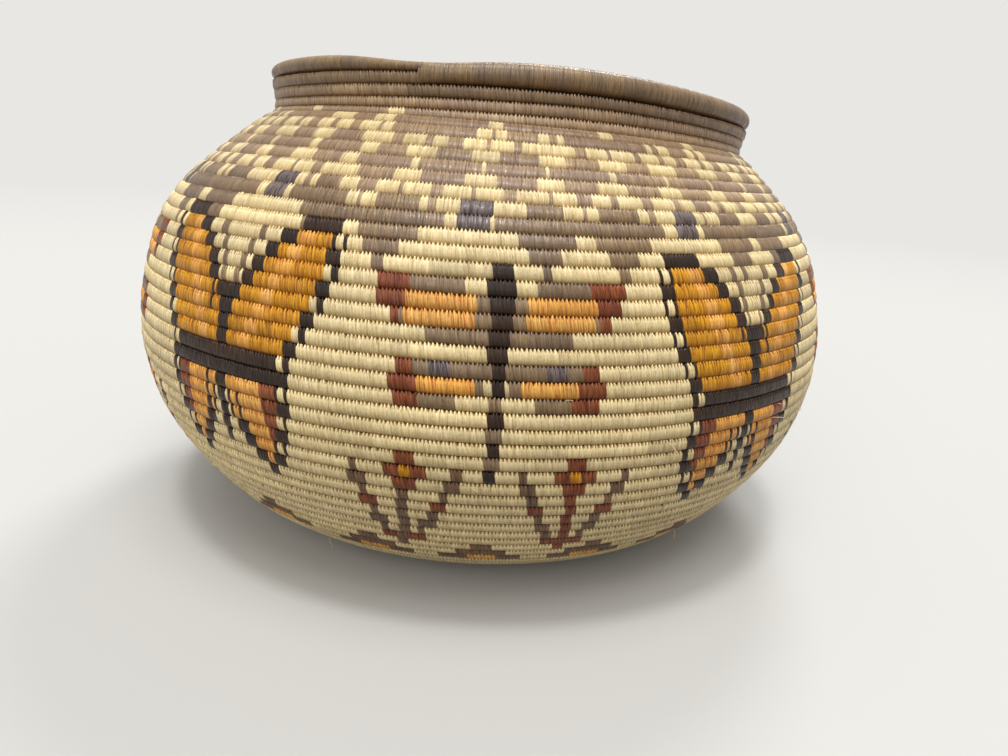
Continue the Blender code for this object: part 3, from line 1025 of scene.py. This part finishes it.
def buildFloor():
    half = studio["floorHalf"]
    mesh = bpy.data.meshes.new("studioFloor")
    corners = [(-half, -half, 0), (half, -half, 0), (half, half, 0), (-half, half, 0)]
    mesh.from_pydata(corners, [], [(0, 1, 2, 3)])
    floor = addObject("studioFloor", mesh)
    material = bpy.data.materials.new("palePaper")
    material.use_nodes = True
    tree = material.node_tree
    shader = tree.nodes["Principled BSDF"]
    shader.inputs["Roughness"].default_value = 0.9
    shader.inputs["Specular IOR Level"].default_value = 0.1
    # pale to the eye, but it sends little light up under the basket
    seen = seenRays(tree)
    returns, pale = linear(studio["floorReturns"]), linear(studio["floor"])
    tree.links.new(mixNode(tree, (-200, 200), seen, returns, pale), shader.inputs["Base Color"])
    # far off it turns into the backdrop, and from below it isn't there
    far = addNode(tree, "ShaderNodeEmission", (0, -200))
    far.inputs["Color"].default_value = linear(studio["backdrop"])
    surface = addNode(tree, "ShaderNodeNewGeometry", (-700, -300)).outputs
    spread = addNode(tree, "ShaderNodeVectorMath", (-500, -300), operation="LENGTH")
    tree.links.new(surface["Position"], spread.inputs[0])
    distance = rangeNode(tree, (-300, -300), spread.outputs["Value"], *studio["fades"])
    fades = mathNode(tree, "MULTIPLY", (-100, -300), distance, seen)
    blend = addNode(tree, "ShaderNodeMixShader", (300, 0))
    feed(tree, blend.inputs, (fades, shader.outputs[0], far.outputs[0]))
    clear = addNode(tree, "ShaderNodeBsdfTransparent", (300, -200))
    sides = addNode(tree, "ShaderNodeMixShader", (500, 0))
    feed(tree, sides.inputs, (surface["Backfacing"], blend.outputs[0], clear.outputs[0]))
    tree.links.new(sides.outputs[0], tree.nodes["Material Output"].inputs["Surface"])
    mesh.materials.append(material)


def buildWorld():
    world = bpy.data.worlds.new("paleStudio")
    bpy.context.scene.world = world
    world.use_nodes = True
    tree = world.node_tree
    tree.nodes.clear()
    seen = seenRays(tree)
    light = addNode(tree, "ShaderNodeBackground", (-300, 0))
    light.inputs["Color"].default_value = (1.0, 1.0, 1.0, 1.0)
    light.inputs["Strength"].default_value = studio["worldLight"]
    pale = addNode(tree, "ShaderNodeBackground", (-300, -200))
    pale.inputs["Color"].default_value = linear(studio["backdrop"])
    blend = addNode(tree, "ShaderNodeMixShader", (0, 100))
    feed(tree, blend.inputs, (seen, light.outputs[0], pale.outputs[0]))
    out = addNode(tree, "ShaderNodeOutputWorld", (200, 100))
    tree.links.new(blend.outputs[0], out.inputs[0])


def addLamp(name, lamp):
    # turned is counted from the camera's side to the right, in degrees
    light = bpy.data.lights.new(name, "SUN")
    light.energy = lamp["strength"]
    light.angle = math.radians(lamp["soft"])
    item = addObject(name, light)
    turned, height = math.radians(lamp["turned"]), math.radians(lamp["height"])
    towards = Matrix.Translation((
        math.sin(turned) * math.cos(height), -math.cos(turned) * math.cos(height), math.sin(height)))
    item.location = towards.translation * 2
    item.rotation_euler = towards.translation.to_track_quat("Z", "Y").to_euler()


# Where the picture is seen from: the angles are in radians, down, rolled and to the right
view = {
    "place": (0.0, -0.408965, 0.177543), "lens": 27.0009, "sensor": 36.0,
    "down": 0.279499799, "tilt": 0.0726274019, "turned": 0.0327014148,
}


def addCamera():
    down, tilt, turned = view["down"], view["tilt"], view["turned"]
    right = np.array([math.cos(turned), -math.sin(turned), 0])
    level = np.array([math.sin(turned), math.cos(turned), 0])
    forward = math.cos(down) * level - math.sin(down) * np.array([0, 0, 1])
    up = math.sin(down) * level + math.cos(down) * np.array([0, 0, 1])
    imageRight = math.cos(tilt) * right + math.sin(tilt) * up
    imageUp = -math.sin(tilt) * right + math.cos(tilt) * up
    turnedTo = Matrix([[*row] for row in np.stack([imageRight, imageUp, -forward], 1)]).to_4x4()
    lens = bpy.data.cameras.new("photoView")
    lens.lens = view["lens"]
    lens.sensor_width = view["sensor"]
    lens.clip_start = 0.01
    camera = addObject("photoView", lens)
    camera.matrix_world = Matrix.Translation(view["place"]) @ turnedTo
    bpy.context.scene.camera = camera


buildFloor()
buildWorld()
for name in ("key", "spark", "front", "back"):
    addLamp(name + "Lamp", studio[name])
addCamera()
bpy.context.scene.view_settings.view_transform = "Standard"
print("studio set")
